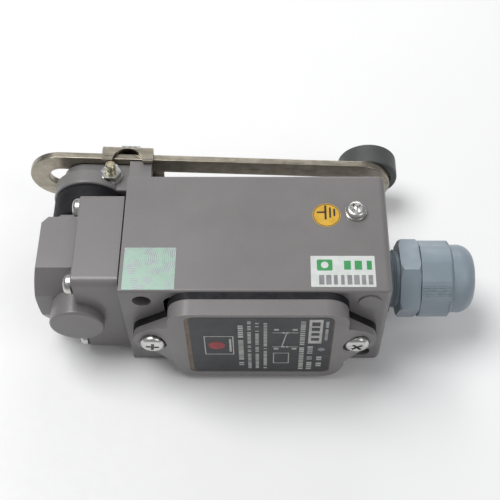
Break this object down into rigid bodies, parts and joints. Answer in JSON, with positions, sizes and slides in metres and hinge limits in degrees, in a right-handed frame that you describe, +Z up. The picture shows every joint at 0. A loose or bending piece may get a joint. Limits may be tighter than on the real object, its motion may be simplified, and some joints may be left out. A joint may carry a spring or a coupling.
{
  "type": "limit switch",
  "caption": "Heavy duty limit switch lying on its side, with a swinging slotted roller lever on its head, a screwed cover and a cable gland.",
  "frame": {"origin": "middle of the side of the housing that the switch lies on", "axes": "+X from the operating head to the cable gland, +Y from the cover to the lever, +Z up"},
  "size_m": [0.1808, 0.0955, 0.0581],
  "materials": {
    "grey_enamel": "semi-gloss grey enamel on a die casting",
    "black_rubber": "black moulded rubber",
    "black_plate": "satin black printed plate",
    "zinc_steel": "bright zinc plate",
    "brass": "plain brass",
    "nickel_plate": "dull nickel plate on stamped steel",
    "dark_roller": "dark grey hard roller",
    "bright_steel": "ground steel",
    "bronze": "sintered bronze",
    "black_moulding": "black phenolic moulding",
    "white_moulding": "off-white moulding",
    "grey_nylon": "satin light grey nylon"
  },
  "bodies": {
    "switch_body": {"housing": "grey_enamel", "cover": "grey_enamel", "head": "grey_enamel", "cover_gasket": "black_rubber", "head_gasket": "black_rubber", "shaft_boot": "black_rubber", "gland_washer": "black_rubber", "gland_seal": "black_rubber", "nameplate": "black_plate", "cover_screws": "zinc_steel", "head_screws": "zinc_steel", "earth_screw": "zinc_steel", "earth_washer": "zinc_steel", "block_screws": "zinc_steel", "terminal_screws": "brass", "plunger_spring": "bright_steel", "return_spring": "bright_steel", "front_bush": "bronze", "rear_bush": "bronze", "fixed_contacts": "brass", "terminal_plates": "brass", "contact_block": "black_moulding", "gland_body": "grey_nylon", "gland_cap": "grey_nylon"},
    "lever": {"shaft": "bright_steel", "cam": "bright_steel", "lever_hub": "grey_enamel", "clamp_screw": "brass", "clamp_nut": "zinc_steel", "saddle": "nickel_plate", "saddle_bolt": "zinc_steel", "saddle_nut": "zinc_steel"},
    "arm": {"lever_arm": "nickel_plate", "roller_pin": "nickel_plate"},
    "roller": {"roller": "dark_roller"},
    "plunger": {"plunger": "bright_steel", "contact_carrier": "white_moulding", "moving_contacts": "brass"}
  },
  "joints": [
    {"name": "lever_swing", "type": "hinge", "parent": "switch_body", "child": "lever", "pos_m": [-0.0692, 0, 0.0275], "axis": [0, 1, 0], "range_deg": [-75, 75], "stiffness_Nm_per_rad": 1.2, "springref_deg": -2.29, "deforming": ["return_spring"]},
    {"name": "arm_length", "type": "slide", "parent": "lever", "child": "arm", "axis": [0.9986, 0, -0.0523], "range_m": [-0.07, 0.024]},
    {"name": "roller_spin", "type": "hinge", "parent": "arm", "child": "roller", "pos_m": [0.04764, 0.0536, 0.02138], "axis": [0, 1, 0], "continuous": true},
    {"name": "plunger_slide", "type": "slide", "parent": "switch_body", "child": "plunger", "axis": [1, 0, 0], "range_m": [-0.0026, 0.0026], "deforming": ["plunger_spring"]}
  ],
  "couplings": [
    {"joint": "plunger_slide", "follows": "lever_swing", "m_per_rad": 0.0019}
  ]
}
